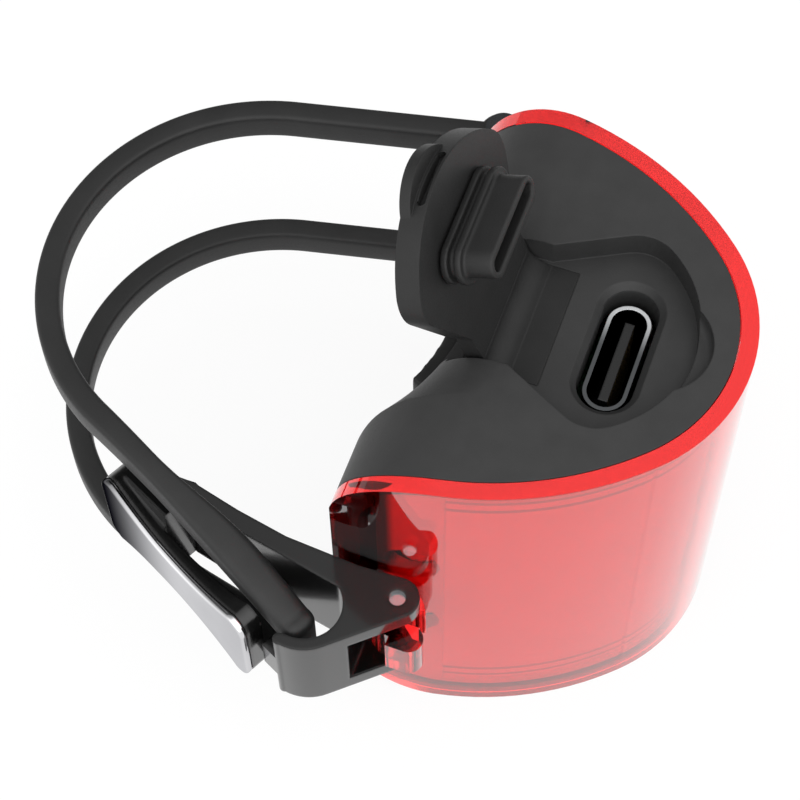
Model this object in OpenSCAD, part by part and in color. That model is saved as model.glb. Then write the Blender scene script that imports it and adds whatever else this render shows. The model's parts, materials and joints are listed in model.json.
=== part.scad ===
// Bike rear light: wrap-round lens, charging port under a rubber flap, rubber strap and swing clasp.
// Millimetres. Z is the post axis, +Y points to the lens nose and +X to the clasp.

/* [Body] */
// Height of the body
body_height = 34.4; // [32:0.2:40]
// Plan radius of the lens nose
nose_radius = 13.3; // [12.5:0.1:15]
// Centre of the nose arc ahead of the saddle
nose_y = 8.4; // [8:0.1:10]
// Sideways offset of the side arc centres
side_x = 8.7; // [8.5:0.1:9.5]
// Wall of the lens
lens_wall = 1.25; // [1.1:0.05:1.4]
// Seam between the lens and the housing
lens_seam = 0.06; // [0.04:0.01:0.1]
// Back end of the housing tips ahead of the saddle, negative behind it
back_y = -3.4; // [-4:0.1:-3]
// Length of the housing tips past the lens ends
tip_lip = 0.2; // [0.1:0.05:0.4]
// Rounding of the back corners seen from the side
corner_radius = 8; // [6:0.1:8.5]
// Thickness of the housing top and bottom
plate = 3; // [2.6:0.1:3.2]
// Thickness of the housing top and bottom at the lens
rim_plate = 1.2; // [1:0.1:1.4]
// Height of the rib that the lens is welded to
weld_height = 0.6; // [0.4:0.1:0.8]
// Wall of the housing tips
tip_length = 2.2; // [2:0.1:2.6]

/* [Saddle] */
// Radius of the post
post_radius = 15; // [14.6:0.1:15.4]
// Thickness of the saddle pad
pad_thick = 1.2; // [0.8:0.1:1.6]
// Height of the saddle pad
pad_height = 24; // [18:0.5:24]
// Half angle of the saddle pad
pad_angle = 22; // [18:1:30]
// Flare between the saddle and the top face
flare = 5; // [3:0.1:6]
// Wall of the housing behind the saddle
back_wall = 2.2; // [1.6:0.1:2.4]

/* [Charging port] */
// Depth of the recess under the flap
recess_depth = 2.2; // [2:0.1:2.4]
// Wall of the tray round the recess
tray_wall = 1; // [0.8:0.1:1.2]
// Floor under the recess
floor_thick = 2.8; // [2.4:0.1:3.2]
// Port centre ahead of the saddle
port_y = 12.3; // [12:0.1:12.6]
// Long side of the port hole
hole_width = 10.2; // [9.8:0.1:10.6]
// Short side of the port hole
hole_thick = 4; // [3.8:0.1:4.4]
// Chamfer of the port hole
hole_chamfer = 0.5; // [0.2:0.1:0.7]
// Long side of the port shell
usb_width = 8.94; // [8.9:0.02:9]
// Short side of the port shell
usb_thick = 3.2; // [3.16:0.02:3.3]
// Sheet of the port shell
usb_wall = 0.3; // [0.2:0.05:0.35]
// Depth of the shell mouth below the floor
usb_sink = 1.5; // [1.3:0.1:1.7]
// Length of the port shell
usb_length = 7.3; // [6.8:0.1:7.6]
// Width of the contact tongue
tongue_width = 6.7; // [6:0.1:6.8]
// Thickness of the contact tongue
tongue_thick = 0.7; // [0.5:0.1:0.8]
// Depth of the contact tongue below the shell mouth
tongue_sink = 0.6; // [0.4:0.1:1]

/* [Port flap] */
// Hinge line of the flap ahead of the saddle
hinge_y = 3.4; // [3:0.1:3.8]
// Hinge line above the flap's inner face
hinge_rise = 0.65; // [0.5:0.05:0.8]
// Opening angle of the flap as shown
flap_open = 112; // [90:1:120]
// Thickness of the flap
flap_thick = 1.8; // [1.5:0.1:1.8]
// Half width of the flap neck
neck_half = 4.9; // [4.5:0.1:5.2]
// Start of the flap's widening ahead of the saddle
flap_base_y = 5.85; // [5.6:0.05:6]
// Half width of the flap where its sides and its front arc would meet
flap_half = 8.15; // [7.8:0.05:8.4]
// Place of that width ahead of the saddle
flap_wide_y = 12.1; // [11.8:0.1:12.3]
// Front of the finger tab ahead of the saddle
tab_y = 18.5; // [18.2:0.1:18.6]
// Plan radius of the finger tab
tab_radius = 3.75; // [3.5:0.05:4]
// Thickness of the finger tab
tab_lip = 0.8; // [0.6:0.1:0.9]
// Rounding of the finger scoop under the tab
scoop_round = 0.6; // [0.4:0.1:0.8]
// Rounding of the flap corners
flap_round = 2.7; // [2.4:0.1:3]
// Length of the fingernail slot under the tab
nail_length = 4.6; // [3.5:0.1:5]
// Height of the fingernail slot
nail_height = 0.6; // [0.5:0.05:0.7]
// Depth of the fingernail slot
nail_depth = 0.7; // [0.4:0.1:0.9]
// Front end of the flap's fixed tab
fixed_end_y = 7.9; // [7.4:0.1:8.2]
// Back end of the flap's fixed tab
fixed_start_y = 2.3; // [2.2:0.1:2.6]
// Thickness of the flap's fixed tab
fixed_thick = 1.1; // [0.9:0.1:1.3]
// Radius of the pegs under the fixed tab
peg_radius = 0.9; // [0.7:0.1:1]
// Radius of the peg heads
peg_head = 1.4; // [1.2:0.1:1.5]
// Height of the peg heads
peg_head_height = 0.6; // [0.5:0.1:0.8]
// Sideways place of the pegs
peg_x = 3; // [2.6:0.1:3.2]
// Place of the pegs ahead of the saddle
peg_y = 6; // [5.8:0.1:6.2]
// Length of the plug
plug_length = 3.8; // [3.4:0.1:4]
// Long side of the plug
plug_width = 8.2; // [8:0.05:8.25]
// Short side of the plug
plug_thick = 2.3; // [2.2:0.05:2.5]
// Long side of the seal ribs
rib_width = 9.3; // [9.1:0.1:9.5]
// Short side of the seal ribs
rib_thick = 3.3; // [3.1:0.1:3.4]
// First seal rib below the flap
rib_start = 0.2; // [0.1:0.05:0.3]
// Height of a seal rib
rib_height = 0.5; // [0.3:0.1:0.6]
// Spacing of the seal ribs
rib_pitch = 1; // [0.8:0.1:1.1]
// Width of the slot in the plug's end
plug_slot_width = 7.3; // [7:0.1:7.4]
// Height of the slot in the plug's end
plug_slot_thick = 1.1; // [1:0.05:1.2]
// Depth of the slot in the plug's end
plug_slot_depth = 2.3; // [2:0.1:2.5]

/* [Light unit] */
// Distance of the diffuser frame from the lens
frame_gap = 0.3; // [0.2:0.05:0.35]
// Depth of the diffuser frame
frame_depth = 1.2; // [1.1:0.05:1.25]
// Back end of the diffuser frame ahead of the saddle, at the saddle line when 0
frame_y = 0; // [-0.2:0.1:0.1]
// Length of the frame's end panels
frame_post = 4.7; // [4.5:0.1:5]
// Height of the frame's rails
frame_rail = 0.8; // [0.6:0.1:1.2]
// Setback of the diffuser in its frame
diffuser_set = 0.2; // [0.1:0.05:0.3]
// Thickness of the diffuser
diffuser_thick = 0.8; // [0.7:0.05:0.9]
// Radius of a side LED dome
dome_radius = 1.8; // [1.6:0.05:1.85]
// Straight length of a side LED dome
dome_length = 1.7; // [1.4:0.1:1.9]
// Place of the side LED domes ahead of the saddle
dome_y = 2.4; // [2.2:0.1:2.5]
// Room round a dome in the frame
dome_room = 0.2; // [0.1:0.05:0.25]
// Height of the side LED domes above and below the middle
dome_z = 4.5; // [3.5:0.1:5.5]
// Inner face of a side board
side_board_x = 10.2; // [10:0.1:10.3]
// Length of a side board
side_board_length = 3.2; // [3:0.1:3.2]
// Height of a side board
side_board_height = 18; // [14:0.5:20]
// Thickness of every board but the main one
board_thin = 1; // [0.8:0.1:1]
// Back face of the light board
led_board_y = 12.3; // [12.2:0.05:12.4]
// Half width of the light board
led_board_half = 6.8; // [6:0.1:6.8]
// Width and height of a main LED
led_size = 3; // [2.4:0.1:3.2]
// Thickness of a main LED
led_thick = 1; // [0.7:0.1:1]
// Spacing of the main LEDs
led_pitch = 4.4; // [3.8:0.1:4.4]
// Height of the main LEDs below the middle
led_drop = 5; // [2:0.1:6]

/* [Electronics] */
// Thickness of the main board
main_thick = 1.6; // [1.2:0.1:1.7]
// Half width of the main board at the screws
main_half = 11.1; // [11:0.05:11.15]
// Back edge of the main board
main_back_y = 3.7; // [3.65:0.05:3.9]
// Length of the main board's wide part
main_wide = 3.2; // [3:0.1:3.4]
// Half width of the main board under the port
main_nose_half = 6; // [5.4:0.1:6]
// Front edge of the main board
main_front_y = 14.3; // [14.2:0.05:14.4]
// Sideways place of the board screws
screw_x = 10; // [9.9:0.05:10.1]
// Place of the board screws ahead of the saddle
screw_y = 5.4; // [5.3:0.05:5.5]
// Radius of the screw shank
screw_radius = 0.8; // [0.6:0.05:0.9]
// Radius of the screw head
screw_head = 1.5; // [1.3:0.05:1.55]
// Height of the screw head
screw_head_height = 1.1; // [0.8:0.1:1.1]
// Length of the screw shank
screw_length = 5; // [4:0.1:6]
// Radius of the screw posts
boss_radius = 1.65; // [1.5:0.05:1.7]
// Half width of the battery
battery_half = 8.2; // [7:0.1:8.2]
// Back of the battery
battery_y = 4.2; // [4:0.1:4.4]
// Depth of the battery
battery_depth = 7; // [6:0.1:7]
// Foam above the battery
foam_thick = 1.2; // [0.8:0.1:1.6]
// Margin of the foam inside the battery outline
foam_margin = 1; // [0.5:0.1:2]
// Underside of the switch board above the bottom plate
switch_rise = 2.6; // [2.5:0.1:3]
// Back edge of the switch board ahead of the saddle
switch_back_y = 4; // [3.9:0.05:4.1]
// Half width of the switch board
switch_half = 9; // [8.2:0.1:9.2]
// Depth of the switch board
switch_depth = 7.8; // [7.4:0.1:7.9]
// Radius of the switch board posts
post_small = 1.3; // [1:0.1:1.4]
// Sideways place of the switch board posts
switch_post_x = 7; // [6.8:0.1:7.4]
// Place of the switch board posts ahead of the saddle
switch_post_y = 6; // [5.6:0.1:6.2]
// Width of the push switch
tact_size = 4; // [3:0.1:5]
// Thickness of the push switch
tact_thick = 1; // [0.8:0.1:1]

/* [Power button] */
// Button centre ahead of the saddle
button_y = 8.5; // [8.3:0.1:8.7]
// Radius of the button
button_radius = 4; // [3:0.1:4.2]
// Extra radius of the button's inner flange
button_flange = 0.8; // [0.6:0.1:0.9]
// Thickness of the button's inner flange
flange_thick = 0.6; // [0.5:0.1:0.7]
// Depth of the button below the bottom face
button_sink = 0.3; // [0.2:0.1:0.6]

/* [Strap] */
// Radial thickness of the strap bands
band_thick = 1.9; // [1.5:0.1:2.1]
// Height of a strap band
band_height = 2.5; // [2:0.1:2.8]
// Height of the strap over both bands
strap_height = 18.8; // [17.8:0.1:20]
// Thickness of the bands beside the clasp
tail_thick = 1.7; // [1.4:0.1:1.7]
// Radius of the strap's fixed eyes
eye_radius = 1.9; // [1.7:0.1:2.1]
// Place of the strap's fixed eyes ahead of the saddle
anchor_y = -2.4; // [-2.6:0.1:-2]
// Length of the solid plate before the strap's fixed eyes
plate_run = 4; // [3:0.1:4.5]
// Radius of the anchor pin
anchor_radius = 0.8; // [0.6:0.05:0.9]
// Radius of the anchor pin heads
anchor_head = 1.4; // [1.2:0.1:1.6]
// Height of the anchor pin heads
anchor_head_height = 0.5; // [0.4:0.1:0.8]
// Radius of the lens lug round the anchor pin
lug_radius = 1.7; // [1.5:0.1:1.9]
// Reach of the bands past the grip of the clasp
tail_past = 0.5; // [0.3:0.1:0.6]
// Length of the bar that joins the bands at the loose end
bar_length = 1; // [0.8:0.1:1.1]
// Inward step of that bar
bar_step = 0.2; // [0.1:0.05:0.3]
// Radius of the bead at the strap's loose end
bead_radius = 1.1; // [0.8:0.1:1.2]
// Distance of the bead past the hollow's centre
bead_past = 0.9; // [0.8:0.1:1]
// Distance of the bead outward of the hollow's centre
bead_out = 0.15; // [0.05:0.05:0.25]

/* [Clasp] */
// Place of the clasp pin ahead of the saddle
pin_y = 2.5; // [2.3:0.1:2.7]
// Radius of the clasp pin
pin_radius = 0.6; // [0.5:0.05:0.65]
// Radius of the clasp arms round the pin
arm_radius = 1.6; // [1.4:0.1:1.7]
// Distance between the clasp arms and the lens
arm_gap = 0.4; // [0.3:0.1:0.6]
// Height of the clasp frame
clasp_height = 8.7; // [8.2:0.1:9]
// Thickness of a clasp arm
arm_thick = 1.4; // [1.1:0.1:1.6]
// Depth of the pin ends in the arms
pin_sink = 0.4; // [0.2:0.1:0.6]
// Strap end outward of the clasp pin
grip_x = 3.25; // [3.1:0.05:3.4]
// Strap end behind the clasp pin
grip_y = 6.8; // [6.6:0.05:7]
// Centre of the hollow past the grip
hollow_past = 0.4; // [0.3:0.05:0.5]
// Centre of the hollow inward of the strap
hollow_in = 0.9; // [0.8:0.05:1]
// Radius of the hollow behind the hook lip
hollow_radius = 2.7; // [2.6:0.05:2.8]
// Thickness of the hook lip
lip_thick = 0.9; // [0.7:0.05:1]
// Reach of the hook lip past the grip
lip_past = 1.1; // [0.9:0.05:1.2]
// Half height of the nose on the hook lip
nose_half = 1.5; // [1.2:0.1:1.6]
// Thickness of that nose
nose_thick = 0.6; // [0.5:0.05:0.7]
// Distance of that nose before the grip
nose_back = 0.4; // [0.3:0.05:0.5]
// Half thickness of the inner tongue
blade_half = 0.72; // [0.6:0.02:0.76]
// Elbow of the tongue past the grip
elbow_past = 1.4; // [1.3:0.05:1.5]
// Elbow of the tongue inward of the strap
elbow_in = 4.7; // [4.6:0.05:4.8]
// Half thickness of the tongue at its elbow
elbow_half = 1.1; // [1:0.05:1.15]
// First bend of the tongue before the grip
bend_1_back = 4.2; // [4:0.1:4.4]
// First bend of the tongue inward of the strap
bend_1_in = 2.85; // [2.75:0.05:2.95]
// Second bend of the tongue before the grip
bend_2_back = 8.3; // [8.1:0.1:8.5]
// Second bend of the tongue inward of the strap
bend_2_in = 1.75; // [1.7:0.05:1.8]
// End of the tongue before the grip
blade_back = 11.8; // [11.6:0.1:12]
// Left end of the handle along the strap
handle_start = 1.6; // [1.4:0.1:2]
// Bend of the handle along the strap
handle_bend = 7.5; // [7:0.1:8]
// Right end of the handle along the strap
handle_end = 18.2; // [17.6:0.1:18.3]
// Outer face of the handle at its left end
handle_out_1 = 2.4; // [2.35:0.05:2.5]
// Outer face of the handle at its bend
handle_out_2 = 2.8; // [2.7:0.05:2.9]
// Outer face of the handle at its right end
handle_out_3 = 3.3; // [3.1:0.05:3.5]
// Height of the handle
handle_height = 8.6; // [8:0.1:8.8]
// Height of the handle at its waist
handle_waist = 4.8; // [4.4:0.1:6]
// Half length of the handle's waist
waist_reach = 7; // [6.4:0.1:7.2]
// Rounding of the handle's corners
handle_round = 1.4; // [0.8:0.1:1.6]
// Thickness of the polished plate
badge_thick = 0.6; // [0.4:0.05:0.8]
// Height of the lens hook that holds the clasp pin
catch_height = 3.8; // [3:0.1:4.2]
// Thickness of the finger of that hook
finger_thick = 2.1; // [1.6:0.1:2.1]
// Reach of the finger past the pin
finger_reach = 2.5; // [2:0.1:2.6]
// Radius of the hook's root round the pin
root_radius = 2; // [1.8:0.05:2]

/* [Fits] */
// Running fit of the clasp pin in the lens hook
run = 0.05; // [0.02:0.01:0.08]
// Distance between pieces that move past each other
gap = 0.3; // [0.25:0.05:0.4]

/* [Hidden] */

fine = 96;
small = 40;
past = 1;
far = 60;

half = body_height / 2;
inner = half - plate;
rim_z = half - rim_plate;
housing_in = lens_wall + lens_seam;

// Places ahead of the post axis.
nose_at = post_radius + nose_y;
back_at = post_radius + back_y;
port_at = post_radius + port_y;
hinge_at = post_radius + hinge_y;
flap_base_at = post_radius + flap_base_y;
flap_wide_at = post_radius + flap_wide_y;
tab_at = post_radius + tab_y;
fixed_end_at = post_radius + fixed_end_y;
fixed_start_at = post_radius + fixed_start_y;
peg_at = post_radius + peg_y;
frame_at = post_radius + frame_y;
led_board_at = post_radius + led_board_y;
main_back_at = post_radius + main_back_y;
main_front_at = post_radius + main_front_y;
screw_at = post_radius + screw_y;
battery_at = post_radius + battery_y;
switch_back_at = post_radius + switch_back_y;
switch_post_at = post_radius + switch_post_y;
button_at = post_radius + button_y;
anchor_at = post_radius + anchor_y;
pin_at = post_radius + pin_y;
dome_at = post_radius + dome_y;

side_y = nose_at - side_x;
side_radius = nose_radius + side_x * sqrt(2);
lens_back_y = back_at + tip_lip;
cavity_y = back_at + tip_length;
seat_radius = post_radius + pad_thick;
wall_radius = seat_radius + back_wall;

floor_z = half - recess_depth;
floor_bottom = floor_z - floor_thick;
tray_grow = gap + tray_wall;
flap_z = floor_z + gap;
flap_top = flap_z + flap_thick;
tab_z = flap_top - tab_lip;
scoop_z = tab_z - gap;
hinge_z = flap_z + hinge_rise;
fixed_z = floor_z - fixed_thick;
mouth_z = floor_z - usb_sink;
main_top = mouth_z - usb_length;
main_bottom = main_top - main_thick;

switch_bottom = -inner + switch_rise;
switch_top = switch_bottom + board_thin;
battery_top = main_bottom - foam_thick;
flange_bottom = -inner + gap;

side_board_y = max(cavity_y, sqrt(pow(wall_radius, 2) - pow(side_board_x, 2)));
dome_x = side_board_x + board_thin;
frame_window_y = frame_at + frame_post;
frame_in = lens_wall + frame_gap;
frame_back = frame_in + frame_depth;
window_z = rim_z - frame_rail;

band_z = strap_height / 2 - band_height;
clasp_half = clasp_height / 2;

function half_width(y) = sqrt(pow(side_radius, 2) - pow(y - side_y, 2)) - side_x;
function unit(v) = v / norm(v);
function mirrored(v) = [-v[0], v[1]];
function turn(v, a) = [v[0] * cos(a) - v[1] * sin(a), v[0] * sin(a) + v[1] * cos(a)];

// Front arc of the flap about the nose centre and the centres of its rounded corners.
nose_centre = [0, nose_at];
flap_base = [neck_half, flap_base_at];
flap_side = unit([flap_half, flap_wide_at] - flap_base);
flap_out = [flap_side[1], -flap_side[0]];
flap_front = norm([flap_half, flap_wide_at] - nose_centre);
flap_across = flap_out * (flap_base - nose_centre) - flap_round;
flap_along = sqrt(pow(flap_front - flap_round, 2) - pow(flap_across, 2));
flap_corner = nose_centre + flap_across * flap_out + flap_along * flap_side;

// Clasp pin, strap end and the straight run of the strap between them and the post.
pin_x = half_width(pin_at) + arm_gap + arm_radius;
pin = [pin_x, pin_at];
grip = [pin_x + grip_x, pin_at - grip_y];
tail_angle = atan2(grip[1], grip[0]) - acos(post_radius / norm(grip));
tail_start = post_radius * [cos(tail_angle), sin(tail_angle)];
tail_length = sqrt(pow(norm(grip), 2) - pow(post_radius, 2));
tail_turn = tail_angle + 90;
pin_local = turn(pin - tail_start, -tail_turn);

// Strap anchor on the other side of the lens.
anchor_x = -half_width(anchor_at) - gap - eye_radius;
anchor = [anchor_x, anchor_at];
mid_radius = post_radius + band_thick / 2;
leave_angle = atan2(anchor[1], anchor[0]) + acos(mid_radius / norm(anchor));
anchor_run = sqrt(pow(norm(anchor), 2) - pow(mid_radius, 2));
lug_half = band_z - gap;

// Slope of the bands down to the strap's loose end.
end_z = clasp_half - band_height / 2;
slope_run = tail_length + tail_past - gap;
slope_drop = band_z + band_height / 2 - end_z;
slope_angle = atan(slope_drop / slope_run);
slope_length = sqrt(pow(slope_run, 2) + pow(slope_drop, 2));

// Hook and tongue of the clasp, along the strap and inward from it.
hook = [tail_length + hollow_past, hollow_in];
hook_radius = hollow_radius + lip_thick;
lip_end = tail_length + lip_past;
lip_mid = hook[1] - hollow_radius - lip_thick / 2;
blade_1 = [tail_length + elbow_past, elbow_in];
blade_2 = [tail_length - bend_1_back, bend_1_in];
blade_3 = [tail_length - bend_2_back, bend_2_in];
web_end = tail_length - blade_back;
blade_4 = [web_end, gap + blade_half];
handle_inner = tail_thick + gap;
waist_mid = (handle_start + handle_end) / 2;
waist_sag = (handle_height - handle_waist) / 2;
waist_radius = (pow(waist_reach, 2) + pow(waist_sag, 2)) / (2 * waist_sag);
nose_start = tail_length - nose_back;

// Outline of the body seen from above, moved inward by an inset.
module body_plan(inset) {
  translate([0, nose_at]) circle(r = nose_radius - inset, $fn = fine);
  difference() {
    intersection() {
      translate([-side_x, side_y]) circle(r = side_radius - inset, $fn = fine);
      translate([side_x, side_y]) circle(r = side_radius - inset, $fn = fine);
    }
    translate([0, nose_at]) polygon([[0, 0], [far, far], [-far, far]]);
  }
}

// Part of the plan ahead of a line across it.
module ahead(y) {
  translate([-far, y]) square([2 * far, far]);
}

// Band along the lens between two insets, ahead of a line.
module ring_plan(outer, inner_inset, y) {
  difference() {
    intersection() {
      body_plan(outer);
      ahead(y);
    }
    body_plan(inner_inset);
  }
}

module slab(z0, z1) {
  translate([0, 0, z0]) linear_extrude(height = z1 - z0) children();
}

// Block with the rounded back corners of the body, moved inward by an inset.
module side_block(inset) {
  r = corner_radius - inset;
  h = half - inset;
  centre = back_at + corner_radius;
  rotate([90, 0, 90]) translate([0, 0, -far / 2]) linear_extrude(height = far) union() {
    translate([centre, -h]) square([far, 2 * h]);
    translate([centre - r, r - h]) square([r + past, 2 * (h - r)]);
    for (s = [-1, 1]) translate([centre, s * (h - r)]) circle(r = r, $fn = fine);
  }
}

// Space of the post with its flared ends.
module spool() {
  rotate_extrude($fn = fine) union() {
    translate([0, -half - past]) square([seat_radius, body_height + 2 * past]);
    for (s = [0, 1]) mirror([0, s]) difference() {
      translate([seat_radius - past, half - flare]) square([flare + past, flare + past]);
      translate([seat_radius + flare, half - flare]) circle(r = flare, $fn = small);
    }
  }
}

// Body behind the lens, its plan moved inward by an inset.
module body_block(inset) {
  difference() {
    intersection() {
      linear_extrude(height = body_height, center = true) body_plan(inset);
      side_block(0);
    }
    spool();
  }
}

// Convex outline with every corner rounded.
module round_plan(points, r) {
  n = len(points);
  ways = [for (i = [0:n - 1]) [
    unit(points[(i + n - 1) % n] - points[i]),
    unit(points[(i + 1) % n] - points[i])
  ]];
  halves = [for (w = ways) acos(w[0] * w[1]) / 2];
  polygon([for (i = [0:n - 1]) for (k = [0, 1]) points[i] + ways[i][k] * r / tan(halves[i])]);
  for (i = [0:n - 1]) {
    translate(points[i] + unit(ways[i][0] + ways[i][1]) * r / sin(halves[i])) circle(r = r, $fn = small);
  }
}

// Two circles and the straight sides that touch both.
module taper(c1, r1, c2, r2) {
  a = atan2(c2[1] - c1[1], c2[0] - c1[0]);
  b = acos((r1 - r2) / norm(c2 - c1));
  p = [cos(a + b), sin(a + b)];
  q = [cos(a - b), sin(a - b)];
  translate(c1) circle(r = r1, $fn = small);
  translate(c2) circle(r = r2, $fn = small);
  polygon([c1 + r1 * p, c2 + r2 * p, c2 + r2 * q, c1 + r1 * q]);
}

module stadium_plan(w, t) {
  square([w - t, t], center = true);
  for (s = [-1, 1]) translate([s * (w - t) / 2, 0]) circle(r = t / 2, $fn = small);
}

// Widening mouth of a stadium hole.
module stadium_chamfer(w, t, c) {
  for (s = [-1, 1]) {
    translate([s * (w - t) / 2, 0, 0]) cylinder(r1 = t / 2, r2 = t / 2 + c, h = c, $fn = small);
  }
  translate([-(w - t) / 2, 0, 0]) rotate([90, 0, 90]) linear_extrude(height = w - t)
    polygon([[-t / 2, 0], [t / 2, 0], [t / 2 + c, c], [-t / 2 - c, c]]);
}

// Outline of the closed flap, grown by a margin: widening sides, rounded corners and a front arc.
module flap_plan(grow) {
  base = flap_base + grow * flap_out;
  touch = flap_corner + (flap_round + grow) * flap_out;
  wedge = nose_centre + far * unit(flap_corner - nose_centre);
  polygon([
    base, touch, flap_corner, mirrored(flap_corner), mirrored(touch), mirrored(base)
  ]);
  translate(flap_corner) circle(r = flap_round + grow, $fn = fine);
  translate(mirrored(flap_corner)) circle(r = flap_round + grow, $fn = fine);
  intersection() {
    translate(nose_centre) circle(r = flap_front + grow, $fn = fine);
    polygon([nose_centre, wedge, mirrored(wedge)]);
  }
}

// Finger tab of the flap, grown by a margin.
module tab_plan(grow) {
  translate([0, tab_at - tab_radius]) circle(r = tab_radius + grow, $fn = fine);
}

// Hollow for a fingertip under the tab, with a rounded floor.
module scoop() {
  r = tab_radius + gap;
  depth = half - scoop_z + past;
  translate([0, tab_at - tab_radius, scoop_z]) rotate_extrude($fn = fine) union() {
    square([r - scoop_round, depth]);
    translate([0, scoop_round]) square([r, depth - scoop_round]);
    translate([r - scoop_round, scoop_round]) circle(r = scoop_round, $fn = small);
  }
}

module neck_plan(grow, y0, y1) {
  translate([-neck_half - grow, y0]) square([2 * (neck_half + grow), y1 - y0]);
}

module cavity() {
  intersection() {
    linear_extrude(height = 2 * inner, center = true) difference() {
      body_plan(lens_wall);
      circle(r = wall_radius, $fn = fine);
    }
    side_block(tip_length);
  }
}

// Space of the diffuser frame behind the lens, between the thin edges of the top and bottom.
module light_space() {
  intersection() {
    slab(-rim_z, rim_z) ring_plan(frame_in, frame_back, frame_at);
    side_block(rim_plate);
  }
}

// Groove round the housing for the diffuser frame.
module light_groove() {
  intersection() {
    slab(-rim_z, rim_z) ring_plan(0, frame_back, frame_at);
    side_block(rim_plate);
  }
}

// Rib round the bottom that the lens is welded to.
module weld_rib() {
  intersection() {
    body_block(lens_wall);
    slab(-half + rim_plate - weld_height, -rim_z) body_plan(0);
  }
}

module housing() {
  color("#3a3a3a") difference() {
    union() {
      difference() {
        body_block(housing_in);
        cavity();
        light_groove();
      }
      weld_rib();
      slab(floor_bottom, inner + past) flap_plan(tray_grow);
      slab(floor_bottom, inner + past) intersection() {
        neck_plan(tray_grow, 0, flap_wide_at);
        difference() {
          ahead(hinge_at);
          circle(r = wall_radius - past / 2, $fn = fine);
        }
      }
      for (s = [-1, 1]) {
        translate([s * screw_x, screw_at, main_top])
          cylinder(r = boss_radius, h = inner - main_top + past, $fn = small);
        translate([s * switch_post_x, switch_post_at, -inner - past])
          cylinder(r = post_small, h = switch_rise + past, $fn = small);
      }
    }
    slab(floor_z, half + past) flap_plan(gap);
    slab(floor_z, half + past) neck_plan(gap, 0, flap_wide_at);
    slab(fixed_z, half + past) neck_plan(0, 0, fixed_end_at);
    scoop();
    translate([0, port_at, 0]) {
      slab(floor_bottom - past, floor_z + past) stadium_plan(hole_width, hole_thick);
      translate([0, 0, floor_z - hole_chamfer]) stadium_chamfer(hole_width, hole_thick, hole_chamfer + run);
    }
    for (s = [-1, 1]) {
      translate([s * peg_x, peg_at, floor_bottom - past])
        cylinder(r = peg_radius, h = floor_thick + past, $fn = small);
      translate([s * screw_x, screw_at, main_top - past])
        cylinder(r = screw_radius, h = screw_length - main_thick + past, $fn = small);
    }
    translate([0, button_at, -half - past])
      cylinder(r = button_radius + gap, h = plate + 2 * past, $fn = small);
  }
}

// Hook of the lens round the clasp pin, open away from the post.
module catch_plan() {
  slot = pin_radius + run;
  difference() {
    union() {
      translate(pin) circle(r = root_radius, $fn = small);
      translate([pin_x - arm_radius - arm_gap - lens_wall / 2, pin_at - root_radius])
        square([arm_radius + arm_gap + lens_wall / 2, root_radius]);
      translate([pin_x + slot, pin_at]) square([finger_thick, finger_reach - finger_thick / 2]);
      translate([pin_x + slot + finger_thick / 2, pin_at + finger_reach - finger_thick / 2])
        circle(r = finger_thick / 2, $fn = small);
    }
    translate(pin) circle(r = slot, $fn = small);
    translate([pin_x - slot, pin_at]) square([2 * slot, far]);
  }
}

module lens() {
  color("#d01818") difference() {
    union() {
      intersection() {
        slab(-half, half) ring_plan(0, lens_wall, lens_back_y);
        side_block(0);
      }
      slab(-catch_height / 2, catch_height / 2) catch_plan();
      slab(-lug_half, lug_half) union() {
        translate(anchor) circle(r = lug_radius, $fn = small);
        translate([anchor_x, lens_back_y])
          square([gap + eye_radius + lens_wall / 2, anchor_at + lug_radius - lens_back_y]);
      }
    }
    translate([anchor_x, anchor_at, -lug_half - past])
      cylinder(r = anchor_radius, h = 2 * (lug_half + past), $fn = small);
  }
}

module saddle_pad() {
  color("#262626") rotate([0, 0, 90 - pad_angle]) rotate_extrude(angle = 2 * pad_angle, $fn = fine)
    translate([post_radius, -pad_height / 2]) square([pad_thick, pad_height]);
}

module diffuser_frame() {
  color("#e6c9c6") difference() {
    light_space();
    slab(-window_z, window_z) ahead(frame_window_y);
    for (z = [-dome_z, dome_z]) translate([0, dome_at, z]) rotate([0, 90, 0])
      cylinder(r = dome_radius + dome_room, h = far, center = true, $fn = small);
  }
}

module diffuser() {
  color("#f3d9d6") slab(-window_z, window_z)
    ring_plan(frame_in + diffuser_set, frame_in + diffuser_set + diffuser_thick, frame_window_y);
}

module led_board() {
  color("#e8e8e4") translate([-led_board_half, led_board_at, switch_bottom])
    cube([2 * led_board_half, board_thin, main_bottom - switch_bottom]);
}

module main_led(i) {
  color("#f2e6a0")
    translate([i * led_pitch - led_size / 2, led_board_at + board_thin, -led_drop - led_size / 2])
      cube([led_size, led_thick, led_size]);
}

module side_board(s) {
  color("#1d5a33") translate([s * (side_board_x + board_thin / 2), side_board_y + side_board_length / 2, 0])
    cube([board_thin, side_board_length, side_board_height], center = true);
}

module side_led(s, z) {
  color("#e02020") translate([s * dome_x, dome_at, z]) rotate([0, s * 90, 0])
    rotate_extrude($fn = small) union() {
      square([dome_radius, dome_length]);
      translate([0, dome_length]) intersection() {
        circle(r = dome_radius, $fn = small);
        square([dome_radius, dome_radius]);
      }
    }
}

module main_board() {
  color("#1d5a33") difference() {
    slab(main_bottom, main_top) union() {
      translate([-main_half, main_back_at]) square([2 * main_half, main_wide]);
      translate([-main_nose_half, main_back_at]) square([2 * main_nose_half, main_front_at - main_back_at]);
    }
    for (s = [-1, 1]) {
      translate([s * screw_x, screw_at, main_bottom - past])
        cylinder(r = screw_radius, h = main_thick + 2 * past, $fn = small);
    }
  }
}

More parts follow.
